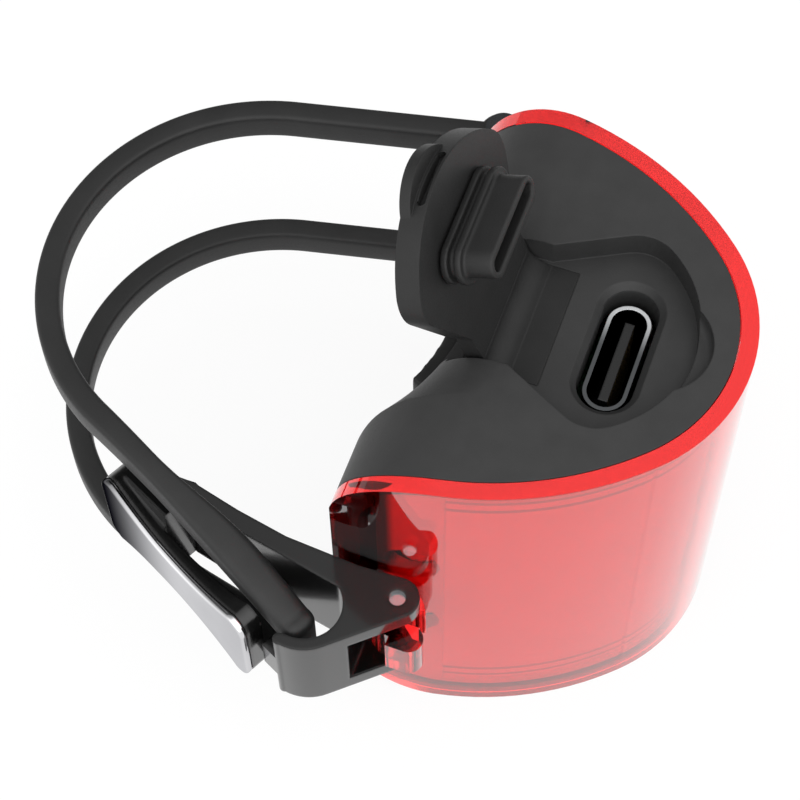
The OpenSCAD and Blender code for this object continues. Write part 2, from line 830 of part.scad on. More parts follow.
module board_screw(s) {
  color("#b8b8b8") translate([s * screw_x, screw_at, main_bottom]) {
    cylinder(r = screw_radius, h = screw_length, $fn = small);
    translate([0, 0, -screw_head_height]) difference() {
      cylinder(r = screw_head, h = screw_head_height, $fn = small);
      translate([-screw_head, -screw_radius / 4, -past])
        cube([2 * screw_head, screw_radius / 2, past + screw_head_height / 2]);
    }
  }
}

module usb_shell() {
  color("#c9ccd0") translate([0, port_at, 0]) difference() {
    slab(main_top, mouth_z) stadium_plan(usb_width, usb_thick);
    slab(main_top + usb_wall, mouth_z + past)
      stadium_plan(usb_width - 2 * usb_wall, usb_thick - 2 * usb_wall);
  }
}

module usb_tongue() {
  color("#161616") translate([-tongue_width / 2, port_at - tongue_thick / 2, main_top + usb_wall])
    cube([tongue_width, tongue_thick, usb_length - usb_wall - tongue_sink]);
}

module battery() {
  color("#4a6fa5") translate([-battery_half, battery_at, switch_top])
    cube([2 * battery_half, battery_depth, battery_top - switch_top]);
}

module battery_foam() {
  color("#555555") translate([foam_margin - battery_half, battery_at + foam_margin, battery_top])
    cube([2 * (battery_half - foam_margin), battery_depth - 2 * foam_margin, foam_thick]);
}

module switch_board() {
  color("#1d5a33") translate([-switch_half, switch_back_at, switch_bottom])
    cube([2 * switch_half, switch_depth, board_thin]);
}

module tact_switch() {
  color("#303030") translate([-tact_size / 2, button_at - tact_size / 2, switch_bottom - tact_thick])
    cube([tact_size, tact_size, tact_thick]);
}

module power_button() {
  color("#2a2a2a") translate([0, button_at, 0]) {
    translate([0, 0, button_sink - half])
      cylinder(r = button_radius, h = half - button_sink + flange_bottom, $fn = small);
    translate([0, 0, flange_bottom])
      cylinder(r = button_radius + button_flange, h = flange_thick, $fn = small);
  }
}

module port_cover_base() {
  color("#303030") {
    slab(fixed_z, floor_z) neck_plan(0, fixed_start_at, fixed_end_at);
    for (s = [-1, 1]) translate([s * peg_x, peg_at, 0]) {
      translate([0, 0, floor_bottom]) cylinder(r = peg_radius, h = fixed_z - floor_bottom, $fn = small);
      translate([0, 0, floor_bottom - peg_head_height])
        cylinder(r = peg_head, h = peg_head_height, $fn = small);
    }
  }
}

// Swings a closed flap piece open about the hinge line.
module opened() {
  translate([0, hinge_at, hinge_z]) rotate([flap_open, 0, 0])
    translate([0, -hinge_at, -hinge_z]) children();
}

module port_cover() {
  color("#303030") opened() difference() {
    union() {
      slab(flap_z, flap_top) flap_plan(0);
      slab(tab_z, flap_top) tab_plan(0);
      slab(flap_z, flap_z + 2 * hinge_rise) neck_plan(0, hinge_at, flap_wide_at);
      translate([-neck_half, hinge_at, hinge_z]) rotate([0, 90, 0])
        cylinder(r = hinge_rise, h = 2 * neck_half, $fn = small);
    }
    translate([0, nose_at + flap_front - nail_depth, (flap_z + tab_z) / 2]) rotate([-90, 0, 0])
      linear_extrude(height = nail_depth + past) stadium_plan(nail_length, nail_height);
  }
}

module port_plug() {
  color("#303030") opened() translate([0, port_at, 0]) difference() {
    union() {
      slab(flap_z - plug_length, flap_z) stadium_plan(plug_width, plug_thick);
      for (i = [0, 1]) {
        rib_top = flap_z - rib_start - i * rib_pitch;
        slab(rib_top - rib_height, rib_top) stadium_plan(rib_width, rib_thick);
      }
    }
    slab(flap_z - plug_length - past, flap_z - plug_length + plug_slot_depth)
      stadium_plan(plug_slot_width, plug_slot_thick);
  }
}

// Frame along the strap's run to its fixed eyes: X along it, Y outward.
module along_anchor() {
  translate(post_radius * [cos(leave_angle), sin(leave_angle), 0])
    rotate([0, 0, leave_angle - 90]) children();
}

// Straight run of a band with its eye at the end; its start is a wedge inside the curved run.
module eye_plan() {
  eye = [anchor_run, band_thick / 2];
  difference() {
    union() {
      polygon([
        [0, 0], [anchor_run, 0], [anchor_run, band_thick], [0, band_thick], [-past, band_thick / 2]
      ]);
      translate(eye) circle(r = eye_radius, $fn = small);
    }
    translate(eye) circle(r = anchor_radius, $fn = small);
  }
}

module strap_loop() {
  arc_gap = gap / post_radius * 180 / PI;
  plate_end = anchor_run - eye_radius - gap;
  color("#2c2c2c") {
    for (z = [band_z, -band_z - band_height]) {
      rotate([0, 0, leave_angle])
        rotate_extrude(angle = 360 + tail_angle - arc_gap - leave_angle, $fn = fine)
          translate([post_radius, z]) square([band_thick, band_height]);
      along_anchor() slab(z, z + band_height) eye_plan();
    }
    along_anchor() slab(-band_z - past, band_z + past)
      translate([plate_end - plate_run, 0]) square([plate_run, band_thick]);
  }
}

module anchor_pin() {
  color("#c9ccd0") translate([anchor_x, anchor_at, 0]) {
    translate([0, 0, -strap_height / 2]) cylinder(r = anchor_radius, h = strap_height, $fn = small);
    for (s = [-1, 1]) {
      translate([0, 0, s * (strap_height + anchor_head_height) / 2])
        cylinder(r = anchor_head, h = anchor_head_height, center = true, $fn = small);
    }
  }
}

// Frame along the strap's straight run: X along it, Y inward.
module along_tail() {
  translate([tail_start[0], tail_start[1], 0]) rotate([0, 0, tail_turn]) children();
}

module strap_tail() {
  color("#2c2c2c") along_tail() {
    for (s = [-1, 1]) {
      translate([gap, -tail_thick, s * (band_z + band_height / 2)]) rotate([0, s * slope_angle, 0])
        translate([0, 0, -band_height / 2]) cube([slope_length, tail_thick, band_height]);
    }
    translate([hook[0], bar_step - tail_thick, -clasp_half]) cube([bar_length, tail_thick, clasp_height]);
    translate([hook[0] + bead_past, hook[1] - bead_out, -clasp_half])
      cylinder(r = bead_radius, h = clasp_height, $fn = small);
  }
}

// Hook, arms and tongue of the clasp seen from above.
module clasp_plan() {
  difference() {
    union() {
      taper(hook, hook_radius, pin_local, arm_radius);
      taper(pin_local, arm_radius, blade_1, elbow_half);
      polygon([pin_local, hook, blade_1]);
    }
    translate(hook) circle(r = hollow_radius, $fn = fine);
    polygon([
      [hook[0] - far / 4, hook[1] - far / 4],
      [lip_end, hook[1] - far / 4],
      [lip_end, hook[1]],
      hook + [0, hollow_radius],
      hook + [-far / 4, hollow_radius]
    ]);
  }
  translate([lip_end, lip_mid]) circle(r = lip_thick / 2, $fn = small);
  taper(blade_1, elbow_half, blade_2, blade_half);
  taper(blade_2, blade_half, blade_3, blade_half);
  taper(blade_3, blade_half, blade_4, blade_half);
}

// Web through the strap's opening and the handle outside it.
module handle_plan() {
  difference() {
    translate([handle_start, -handle_out_1])
      square([web_end - handle_start, handle_out_1 + gap + 2 * blade_half]);
    translate([0, post_radius]) circle(r = post_radius, $fn = fine);
  }
  polygon([
    [handle_start, -handle_out_1], [handle_bend, -handle_out_2], [handle_end, -handle_out_3],
    [handle_end, -handle_inner], [handle_bend, -handle_inner], [handle_start, -handle_out_1 + blade_half]
  ]);
}

module badge_plan() {
  polygon([
    [handle_start, -handle_out_1], [handle_bend, -handle_out_2], [handle_end, -handle_out_3],
    [handle_end, -handle_out_3 - badge_thick], [handle_bend, -handle_out_2 - badge_thick],
    [handle_start, -handle_out_1 - badge_thick]
  ]);
}

// Hourglass shape of the handle, as a cut across it.
module waist_cut() {
  for (s = [-1, 1]) translate([waist_mid, 0, s * (handle_waist / 2 + waist_radius)]) rotate([90, 0, 0])
    cylinder(r = waist_radius, h = far, center = true, $fn = fine);
}

// Rounded ends of the handle.
module handle_ends() {
  h = handle_height / 2;
  rotate([90, 0, 0]) linear_extrude(height = far, center = true)
    round_plan([[handle_end, -h], [handle_end, h], [handle_start, h], [handle_start, -h]], handle_round);
}

module clasp_frame() {
  color("#1c1c1c") difference() {
    along_tail() union() {
      slab(-clasp_half, clasp_half) clasp_plan();
      difference() {
        intersection() {
          slab(-clasp_half, clasp_half) handle_plan();
          handle_ends();
        }
        intersection() {
          waist_cut();
          translate([0, -far - tail_thick, -far]) cube([far, far, 2 * far]);
        }
      }
      slab(-nose_half, nose_half) union() {
        translate([nose_start, lip_mid - lip_thick / 2]) square([lip_end - nose_start, lip_thick]);
        translate([nose_start, lip_mid - lip_thick / 2])
          square([nose_thick, -lip_mid + lip_thick / 2 - run]);
      }
    }
    translate([pin_x - far / 2, pin_at - root_radius - gap, arm_thick - clasp_half])
      cube([far, far, clasp_height - 2 * arm_thick]);
    translate([pin_x, pin_at, -clasp_half - past])
      cylinder(r = pin_radius, h = clasp_height + 2 * past, $fn = small);
  }
}

module clasp_pin() {
  color("#dcdcdc") translate([pin_x, pin_at, pin_sink - clasp_half])
    cylinder(r = pin_radius, h = clasp_height - 2 * pin_sink, $fn = small);
}

module badge_plate() {
  color("#d8d8d8") along_tail() difference() {
    intersection() {
      slab(-clasp_half, clasp_half) badge_plan();
      handle_ends();
    }
    waist_cut();
  }
}

housing();
lens();
saddle_pad();
diffuser();
diffuser_frame();
led_board();
main_led(-1);  // main_led_1
main_led(0);  // main_led_2
main_led(1);  // main_led_3
side_board(1);  // side_board_1
side_board(-1);  // side_board_2
side_led(1, dome_z);  // side_led_1
side_led(1, -dome_z);  // side_led_2
side_led(-1, dome_z);  // side_led_3
side_led(-1, -dome_z);  // side_led_4
main_board();
board_screw(1);  // board_screw_1
board_screw(-1);  // board_screw_2
usb_shell();
usb_tongue();
battery();
battery_foam();
switch_board();
tact_switch();
power_button();
port_cover_base();
port_cover();
port_plug();
strap_loop();
strap_tail();
anchor_pin();
clasp_frame();
clasp_pin();
badge_plate();
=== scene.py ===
"""Bike rear light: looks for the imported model, in metres, in the model's own frame."""
import json
import math

import bmesh
import bpy
from mathutils import Matrix, Vector


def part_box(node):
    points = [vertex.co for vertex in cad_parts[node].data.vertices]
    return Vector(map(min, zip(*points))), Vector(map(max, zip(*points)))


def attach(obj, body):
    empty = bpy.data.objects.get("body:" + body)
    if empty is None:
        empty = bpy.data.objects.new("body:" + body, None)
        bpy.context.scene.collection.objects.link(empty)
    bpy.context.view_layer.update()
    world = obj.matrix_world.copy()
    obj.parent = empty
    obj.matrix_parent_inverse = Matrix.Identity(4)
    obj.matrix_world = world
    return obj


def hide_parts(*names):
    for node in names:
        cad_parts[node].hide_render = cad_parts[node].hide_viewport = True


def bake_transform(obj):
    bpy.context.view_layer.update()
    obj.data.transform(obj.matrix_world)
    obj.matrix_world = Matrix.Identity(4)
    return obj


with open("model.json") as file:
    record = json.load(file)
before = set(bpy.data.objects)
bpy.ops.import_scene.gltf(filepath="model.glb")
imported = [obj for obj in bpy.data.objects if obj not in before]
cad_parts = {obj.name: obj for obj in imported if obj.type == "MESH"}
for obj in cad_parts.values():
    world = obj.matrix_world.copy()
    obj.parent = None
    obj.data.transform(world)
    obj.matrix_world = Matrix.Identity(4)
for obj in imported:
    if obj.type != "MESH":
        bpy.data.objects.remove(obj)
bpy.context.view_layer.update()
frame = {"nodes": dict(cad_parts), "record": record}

nodes = frame["nodes"]
collection = bpy.context.scene.collection
MM = 0.001

# Sizes, in metres

POST_RADIUS = next(m for m in frame["record"]["mounts"] if m["name"] == "post_clamp")["dims"]["r_mm"] * MM
BAND_THICK = 1.9 * MM
BAND_HEIGHT = 2.5 * MM
TAIL_THICK = 1.7 * MM
EYE_RADIUS = 1.9 * MM
PLATE_RUN = 4.0 * MM
PLATE_BACK = 2.2 * MM
GRIP_OUT = 3.25 * MM
GRIP_BACK = 6.8 * MM
END_PAST = 0.8 * MM
END_HALF = 1.05 * MM
END_SWELL = 1.0 * MM
END_HEIGHT = 8.7 * MM
END_SOFT = 0.9 * MM
PILLAR_SOFT = 0.35 * MM
HINGE_Y = 18.4 * MM
HINGE_Z = 15.95 * MM
FLAP_INNER = 0.65 * MM
NECK_HALF = 4.9 * MM
FLOOR_Z = 15.0 * MM
BEND_RADIUS = 2.0 * MM
BEND_SINK = 0.4 * MM
BEND_BACK = 0.5 * MM
PLATE_EDGE = 0.2 * MM
PLASTIC_EDGE = 0.15 * MM
METAL_EDGE = 0.05 * MM
CLASP_EDGE = 0.35 * MM
SEAM_GAP = 0.03 * MM
FLOOR_GAP = 0.03 * MM
WELD_DISTANCE = 0.001 * MM

# Angles, powers of the rounded outlines, and steps along the curves

FLAP_ANGLE = math.radians(112)
SHARP_ANGLE = math.radians(30)
END_CURVE = 1.7
BAND_POWER = 6.0
END_POWER = 2.6
EYE_POWER = 2.0
SWELL_FROM = 0.25
SWELL_OVER = 0.5
RUN_STEPS = 12
LOOP_STEPS = 139
TAIL_STEPS = 36
CAP_STEPS = 9
BEND_STEPS = 24
SOFT_STEPS = 5
RING_POINTS = 32


def srgb(hex_colour):
    """Linear RGBA of a written #rrggbb colour."""
    out = []
    for i in (1, 3, 5):
        c = int(hex_colour[i:i + 2], 16) / 255
        out.append(c / 12.92 if c <= 0.04045 else ((c + 0.055) / 1.055) ** 2.4)
    return (*out, 1.0)


# Materials


def new_material(name):
    """A node material, its tree and its shader."""
    mat = bpy.data.materials.new(name)
    mat.use_nodes = True
    return mat, mat.node_tree, mat.node_tree.nodes["Principled BSDF"]


def add(tree, kind, **sockets):
    """A new node with the values of its named sockets."""
    node = tree.nodes.new(kind)
    for key, value in sockets.items():
        node.inputs[key.replace("_", " ")].default_value = value
    return node


def grain(tree, bsdf, scale, depth, rough_low, rough_high, dark, light, edge):
    """Fine moulded grain: colour, roughness and bump from two noises in the part's own metres."""
    link = tree.links.new
    place = tree.nodes.new("ShaderNodeTexCoord")
    fine = add(tree, "ShaderNodeTexNoise", Scale=scale, Detail=4.0, Roughness=0.6)
    broad = add(tree, "ShaderNodeTexNoise", Scale=scale / 18, Detail=3.0, Roughness=0.5)
    link(place.outputs["Object"], fine.inputs["Vector"])
    link(place.outputs["Object"], broad.inputs["Vector"])
    tone = tree.nodes.new("ShaderNodeValToRGB")
    tone.color_ramp.elements[0].position = 0.3
    tone.color_ramp.elements[0].color = dark
    tone.color_ramp.elements[1].position = 0.7
    tone.color_ramp.elements[1].color = light
    link(broad.outputs["Fac"], tone.inputs["Fac"])
    link(tone.outputs["Color"], bsdf.inputs["Base Color"])
    rough = add(tree, "ShaderNodeMapRange", From_Min=0.3, From_Max=0.7, To_Min=rough_low, To_Max=rough_high)
    link(fine.outputs["Fac"], rough.inputs["Value"])
    link(rough.outputs["Result"], bsdf.inputs["Roughness"])
    bump = add(tree, "ShaderNodeBump", Strength=1.0, Distance=depth)
    soft_edge = add(tree, "ShaderNodeBevel", Radius=edge)
    link(soft_edge.outputs["Normal"], bump.inputs["Normal"])
    link(fine.outputs["Fac"], bump.inputs["Height"])
    link(bump.outputs["Normal"], bsdf.inputs["Normal"])


def moulded(
    name, dark, light, scale, depth, rough_low, rough_high, coat=0.0, specular=0.5, edge=PLASTIC_EDGE
):
    """Moulded plastic or rubber."""
    mat, tree, bsdf = new_material(name)
    grain(tree, bsdf, scale, depth, rough_low, rough_high, srgb(dark), srgb(light), edge)
    bsdf.inputs["Coat Weight"].default_value = coat
    bsdf.inputs["Coat Roughness"].default_value = 0.08
    bsdf.inputs["Specular IOR Level"].default_value = specular
    return mat


def metal(name, dark, light, rough_low, rough_high, scale, depth):
    """Bare or plated metal."""
    mat, tree, bsdf = new_material(name)
    grain(tree, bsdf, scale, depth, rough_low, rough_high, srgb(dark), srgb(light), METAL_EDGE)
    bsdf.inputs["Metallic"].default_value = 1.0
    return mat


def clear(name, dark, light, ior):
    """Clear moulding: slight streaks of colour, and a hard coat on its upright walls."""
    mat, tree, bsdf = new_material(name)
    place = tree.nodes.new("ShaderNodeTexCoord")
    streaks = add(tree, "ShaderNodeTexNoise", Scale=120.0, Detail=2.0, Roughness=0.4)
    tree.links.new(place.outputs["Object"], streaks.inputs["Vector"])
    tone = tree.nodes.new("ShaderNodeValToRGB")
    tone.color_ramp.elements[0].color = dark
    tone.color_ramp.elements[1].color = light
    tree.links.new(streaks.outputs["Fac"], tone.inputs["Fac"])
    tree.links.new(tone.outputs["Color"], bsdf.inputs["Base Color"])
    parts = tree.nodes.new("ShaderNodeSeparateXYZ")
    tree.links.new(place.outputs["Normal"], parts.inputs["Vector"])
    tilt = tree.nodes.new("ShaderNodeMath")
    tilt.operation = "ABSOLUTE"
    tree.links.new(parts.outputs["Z"], tilt.inputs[0])
    coat = add(tree, "ShaderNodeMapRange", From_Min=0.2, From_Max=0.7, To_Min=0.8, To_Max=0.0)
    tree.links.new(tilt.outputs[0], coat.inputs["Value"])
    tree.links.new(coat.outputs["Result"], bsdf.inputs["Coat Weight"])
    bsdf.inputs["Coat Roughness"].default_value = 0.02
    bsdf.inputs["Roughness"].default_value = 0.02
    bsdf.inputs["Transmission Weight"].default_value = 1.0
    bsdf.inputs["IOR"].default_value = ior
    return mat


def painted_light_fade(mat, axis, start, end, dark, glancing=False):
    """Painted light and shade: fades a material from a dark colour at start to its own at end, in metres
    along one axis; with glancing, its reflection tint too.
    """
    tree = mat.node_tree
    bsdf = tree.nodes["Principled BSDF"]
    tone = bsdf.inputs["Base Color"].links[0].from_socket
    place = tree.nodes.new("ShaderNodeTexCoord")
    along = tree.nodes.new("ShaderNodeVectorMath")
    along.operation = "DOT_PRODUCT"
    along.inputs[1].default_value = axis
    tree.links.new(place.outputs["Object"], along.inputs[0])
    share = add(tree, "ShaderNodeMapRange", From_Min=start, From_Max=end)
    share.interpolation_type = "SMOOTHSTEP"
    tree.links.new(along.outputs["Value"], share.inputs["Value"])
    mix = tree.nodes.new("ShaderNodeMix")
    mix.data_type = "RGBA"
    mix.inputs["A"].default_value = dark
    tree.links.new(share.outputs["Result"], mix.inputs["Factor"])
    tree.links.new(tone, mix.inputs["B"])
    tree.links.new(mix.outputs["Result"], bsdf.inputs["Base Color"])
    if glancing:
        tree.links.new(mix.outputs["Result"], bsdf.inputs["Specular Tint"])


def shade_lines(mat, marks, line):
    """Draws thin lines of painted shade round a panel, where the edges of a frame show, at the given heights
    from its middle, in metres.
    """
    tree = mat.node_tree
    bsdf = tree.nodes["Principled BSDF"]
    tone = bsdf.inputs["Base Color"].links[0].from_socket
    place = tree.nodes.new("ShaderNodeTexCoord")
    parts = tree.nodes.new("ShaderNodeSeparateXYZ")
    tree.links.new(place.outputs["Object"], parts.inputs["Vector"])
    height = tree.nodes.new("ShaderNodeMath")
    height.operation = "ABSOLUTE"
    tree.links.new(parts.outputs["Z"], height.inputs[0])
    low, high = marks[0][0] - 1 * MM, marks[-1][1] + 1 * MM
    share = add(tree, "ShaderNodeMapRange", From_Min=low, From_Max=high)
    tree.links.new(height.outputs[0], share.inputs["Value"])
    ramp = tree.nodes.new("ShaderNodeValToRGB")
    ramp.color_ramp.interpolation = "CONSTANT"
    stops = [(0.0, (1, 1, 1, 1))]
    for start, end in marks:
        stops.append(((start - low) / (high - low), line))
        stops.append(((end - low) / (high - low), (1, 1, 1, 1)))
    while len(ramp.color_ramp.elements) < len(stops):
        ramp.color_ramp.elements.new(1.0)
    for element, (position, colour) in zip(ramp.color_ramp.elements, stops):
        element.position = position
        element.color = colour
    tree.links.new(share.outputs["Result"], ramp.inputs["Fac"])
    mix = tree.nodes.new("ShaderNodeMix")
    mix.data_type = "RGBA"
    mix.blend_type = "MULTIPLY"
    mix.inputs["Factor"].default_value = 1.0
    tree.links.new(tone, mix.inputs["A"])
    tree.links.new(ramp.outputs["Color"], mix.inputs["B"])
    tree.links.new(mix.outputs["Result"], bsdf.inputs["Base Color"])


def contacts(mat, pitch, gilt):
    """Gilt contact strips across the broad faces of the port's tongue."""
    tree = mat.node_tree
    bsdf = tree.nodes["Principled BSDF"]
    tone = bsdf.inputs["Base Color"].links[0].from_socket
    place = tree.nodes.new("ShaderNodeTexCoord")
    spot = tree.nodes.new("ShaderNodeSeparateXYZ")
    tree.links.new(place.outputs["Object"], spot.inputs["Vector"])
    facing = tree.nodes.new("ShaderNodeSeparateXYZ")
    tree.links.new(place.outputs["Normal"], facing.inputs["Vector"])
    share = spot.outputs["X"]
    for operation, value in (("DIVIDE", pitch), ("FRACT", 0.0), ("LESS_THAN", 0.55)):
        step = tree.nodes.new("ShaderNodeMath")
        step.operation = operation
        tree.links.new(share, step.inputs[0])
        step.inputs[1].default_value = value
        share = step.outputs[0]
    broad = tree.nodes.new("ShaderNodeMath")
    broad.operation = "ABSOLUTE"
    tree.links.new(facing.outputs["Y"], broad.inputs[0])
    strip = tree.nodes.new("ShaderNodeMath")
    strip.operation = "MULTIPLY"
    tree.links.new(share, strip.inputs[0])
    tree.links.new(broad.outputs[0], strip.inputs[1])
    mix = tree.nodes.new("ShaderNodeMix")
    mix.data_type = "RGBA"
    mix.inputs["B"].default_value = gilt
    tree.links.new(strip.outputs[0], mix.inputs["Factor"])
    tree.links.new(tone, mix.inputs["A"])
    tree.links.new(mix.outputs["Result"], bsdf.inputs["Base Color"])
    tree.links.new(strip.outputs[0], bsdf.inputs["Metallic"])


housing_black = moulded("housing_black", "#2e2e2e", "#323232", 9000.0, 0.00001, 0.42, 0.55, specular=0.3)
strap_black = moulded("strap_black", "#1e1e1e", "#222222", 7000.0, 0.00001, 0.38, 0.5, specular=0.3)
# Darker than the housing: partly the rubber's own tone, partly painted shade for the flap's face, which
# turns away from the light.
cover_black = moulded("cover_black", "#1d1d1d", "#212121", 8000.0, 0.000012, 0.45, 0.55, specular=0.3)
clasp_black = moulded(
    "clasp_black", "#0c0c0c", "#101010", 4000.0, 0.000003, 0.12, 0.18,
    coat=0.35, specular=0.35, edge=CLASP_EDGE,
)
lens_red = clear("lens_red", (0.97, 0.024, 0.024, 1.0), (0.99, 0.03, 0.03, 1.0), 1.5)
diffuser_white = moulded("diffuser_white", "#faf0ee", "#fff6f4", 2500.0, 0.000008, 0.4, 0.5)
# Painted shade: grey lines across the diffuser where the frame's rails and edges show through the lens.
shade_lines(diffuser_white, ((13.3 * MM, 13.7 * MM), (14.45 * MM, 14.8 * MM)), (0.45, 0.4, 0.4, 1.0))
frame_pale = moulded("frame_pale", "#f3e6e3", "#f8edea", 2500.0, 0.000006, 0.3, 0.4)
# Painted shade: the frame is dark red below 15.6 mm along Y and fades to its own pale colour by 16.4 mm, for
# the shade at that end of the lens.
painted_light_fade(frame_pale, (0, 1, 0), 15.6 * MM, 16.4 * MM, srgb("#3a1414"))
dome_red = moulded("dome_red", "#ff1a1a", "#ff2a2a", 1500.0, 0.000003, 0.08, 0.12, coat=0.5)
board_green = moulded("board_green", "#123d20", "#18492a", 2500.0, 0.000008, 0.35, 0.45)
board_white = moulded("board_white", "#dcdcd6", "#e6e6e0", 2500.0, 0.000008, 0.35, 0.45)
led_yellow = moulded("led_yellow", "#e9d88a", "#f4e7a4", 2500.0, 0.000004, 0.2, 0.3)
foam_grey = moulded("foam_grey", "#4a4a4a", "#585858", 5000.0, 0.00004, 0.8, 0.9)
wrap_blue = moulded("wrap_blue", "#3d6299", "#4a70a8", 2000.0, 0.000006, 0.25, 0.35)
port_black = moulded("port_black", "#0e0e0e", "#141414", 4000.0, 0.000004, 0.25, 0.35)
tongue_black = moulded("tongue_black", "#0e0e0e", "#141414", 4000.0, 0.000004, 0.25, 0.35)
contacts(tongue_black, 0.5 * MM, srgb("#d8b878"))
chrome = metal("chrome", "#d4d4d6", "#e2e2e4", 0.04, 0.09, 1500.0, 0.0000015)
# Painted reflection: the plate's chrome is dark at one end and brightens over 11 mm along the plate, in
# colour and reflection tint.
painted_light_fade(chrome, (0.442, 0.897, 0), 0.0, 11.0 * MM, srgb("#4a4a4c"), glancing=True)
shell_steel = metal("shell_steel", "#dcdee0", "#e8eaec", 0.12, 0.2, 6000.0, 0.000003)
# Painted shade on the port's steel shell, in colour and reflection tint: darker towards +X, and dark below
# its top edge, which keeps the steel's own colour.
shell_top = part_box("usb_shell")[1].z
painted_light_fade(shell_steel, (-1, 0, 0), 0.5 * MM, 4.2 * MM, srgb("#5c5e60"), glancing=True)
painted_light_fade(
    shell_steel, (0, 0, 1), shell_top - 0.3 * MM, shell_top - 0.05 * MM, srgb("#1a1a1c"), glancing=True
)
dark_steel = metal("dark_steel", "#3a3b3d", "#47494b", 0.25, 0.35, 6000.0, 0.000003)
steel = metal("steel", "#c4c6c9", "#d6d8da", 0.16, 0.26, 6000.0, 0.000003)

# Rubber pieces


def centre(node):
    """Middle of a CAD node's box."""
    low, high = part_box(node)
    return (low + high) / 2


def new_object(name, bm, material):
    """Smooth-shaded object from a finished bmesh."""
    mesh = bpy.data.meshes.new(name)
    bm.to_mesh(mesh)
    bm.free()
    mesh.materials.append(material)
    if "custom_normal" in mesh.attributes:
        mesh.attributes.remove(mesh.attributes["custom_normal"])
    for face in mesh.polygons:
        face.use_smooth = True
    obj = bpy.data.objects.new(name, mesh)
    collection.objects.link(obj)
    return obj


def skin(bm, rings):
    """Faces between rings of points, with both ends capped."""
    rows = [[bm.verts.new(p) for p in ring] for ring in rings]
    for one, two in zip(rows, rows[1:]):
        for i in range(len(one)):
            j = (i + 1) % len(one)
            bm.faces.new((one[i], one[j], two[j], two[i]))
    bm.faces.new(rows[0][::-1])
    bm.faces.new(rows[-1])


def rounded(half_u, half_v, power):
    """Points of a rounded rectangle about the origin."""
    out = []
    for i in range(RING_POINTS):
        a = 2 * math.pi * i / RING_POINTS
        c, s = math.cos(a), math.sin(a)
        out.append((
            half_u * math.copysign(abs(c) ** (2 / power), c),
            half_v * math.copysign(abs(s) ** (2 / power), s),
        ))
    return out


def pillar(bm, middle, way, half_along, half_across, z0, z1, power=BAND_POWER, soft=PILLAR_SOFT):
    """Upright block of rounded plan with softened top and bottom edges."""
    side = Vector((-way.y, way.x, 0))
    turns = [math.pi / 2 * i / SOFT_STEPS for i in range(SOFT_STEPS + 1)]
    levels = [(z0 + soft * (1 - math.cos(a)), soft * (math.sin(a) - 1)) for a in turns]
    levels += [(z0 + z1 - z, grow) for z, grow in reversed(levels)]
    rings = []
    for z, grow in levels:
        rings.append([
            Vector((middle.x, middle.y, z)) + way * u + side * v
            for u, v in rounded(half_along + grow, half_across + grow, power=power)
        ])
    skin(bm, rings)


def polar(angle):
    """Level unit vector at an angle from +X."""
    return Vector((math.cos(angle), math.sin(angle), 0))


